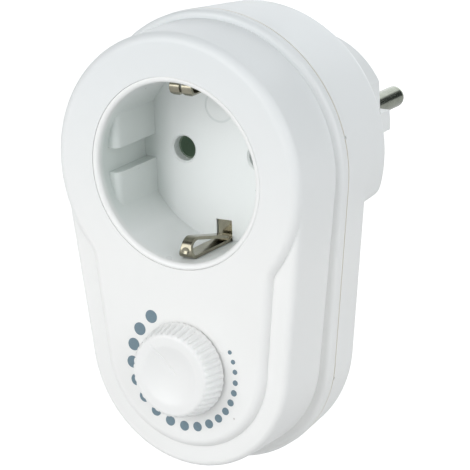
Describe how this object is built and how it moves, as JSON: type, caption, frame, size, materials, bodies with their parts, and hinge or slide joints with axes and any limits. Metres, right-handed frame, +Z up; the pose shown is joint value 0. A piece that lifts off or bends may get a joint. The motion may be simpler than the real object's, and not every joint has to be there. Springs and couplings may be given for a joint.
{
  "type": "plug in dimmer",
  "caption": "Plug-in lamp dimmer: earthed plug behind, recessed earthed socket in front, and below it a fluted turning knob ringed by growing dots.",
  "frame": {"origin": "middle of the plug's end face, between the two pins", "axes": "+X to the right and +Z up as seen from the front, +Y away from the viewer, into the wall socket"},
  "size_m": [0.063, 0.0826, 0.0986],
  "materials": {
    "front_shell": "white satin",
    "rear_shell": "white satin",
    "socket_insert": "white satin",
    "plug_insert": "white satin",
    "knob": "white satin",
    "dot_print": "printed blue grey",
    "plug_pin_metal": "nickel plated",
    "earth_clip_metal": "nickel plated spring strip",
    "plug_earth_metal": "nickel plated strip",
    "contact_brass": "bare brass",
    "contact_cover": "moulded",
    "screw_steel": "zinc plated",
    "circuit_board": "phenolic board",
    "pot_metal": "plated steel",
    "pot_rotor": "black moulding",
    "pot_track": "carbon track on laminate",
    "tinned_metal": "tinned",
    "suppression_capacitor": "yellow moulded box",
    "timing_capacitor": "dark red dip",
    "ferrite": "ferrite",
    "copper_winding": "enamelled copper wire",
    "fuse_glass": "clear tube",
    "fuse_caps": "nickel plated",
    "fuse_clips": "spring brass",
    "resistors": "lacquered",
    "diac": "glass body",
    "triac_body": "black epoxy",
    "heat_sink": "plain sheet",
    "live_in_wire": "brown insulation",
    "live_out_wire": "black insulation"
  },
  "bodies": {
    "housing": {"front_shell": "front_shell", "rear_shell": "rear_shell", "socket_insert": "socket_insert", "plug_insert": "plug_insert", "dot_scale": "dot_print", "live_pin": "plug_pin_metal", "neutral_pin": "plug_pin_metal", "earth_strap": "earth_clip_metal", "plug_earth_strap": "plug_earth_metal", "live_contact": "contact_brass", "neutral_contact": "contact_brass", "neutral_link": "contact_brass", "earth_link": "contact_brass", "contact_cover": "contact_cover", "contact_chambers": "contact_cover", "housing_screws": "screw_steel", "plug_insert_screws": "screw_steel", "board_screws": "screw_steel", "sink_screw": "screw_steel", "circuit_board": "circuit_board", "pot_case": "pot_metal", "pot_track": "pot_track", "pot_terminals": "tinned_metal", "triac_legs": "tinned_metal", "triac_tab": "tinned_metal", "suppression_capacitor": "suppression_capacitor", "timing_capacitor": "timing_capacitor", "choke_core": "ferrite", "choke_winding": "copper_winding", "fuse_glass": "fuse_glass", "fuse_caps": "fuse_caps", "fuse_clips": "fuse_clips", "resistors": "resistors", "diac": "diac", "triac_body": "triac_body", "heat_sink": "heat_sink", "live_in_wire": "live_in_wire", "live_out_wire": "live_out_wire"},
    "dial": {"knob": "knob", "pot_shaft": "pot_metal", "pot_rotor": "pot_rotor", "pot_wiper": "contact_brass"}
  },
  "joints": [
    {"name": "knob_turn", "type": "hinge", "parent": "housing", "child": "dial", "pos_m": [0, -0.0575, -0.0425], "axis": [0, -1, 0], "range_deg": [0, 257]}
  ]
}
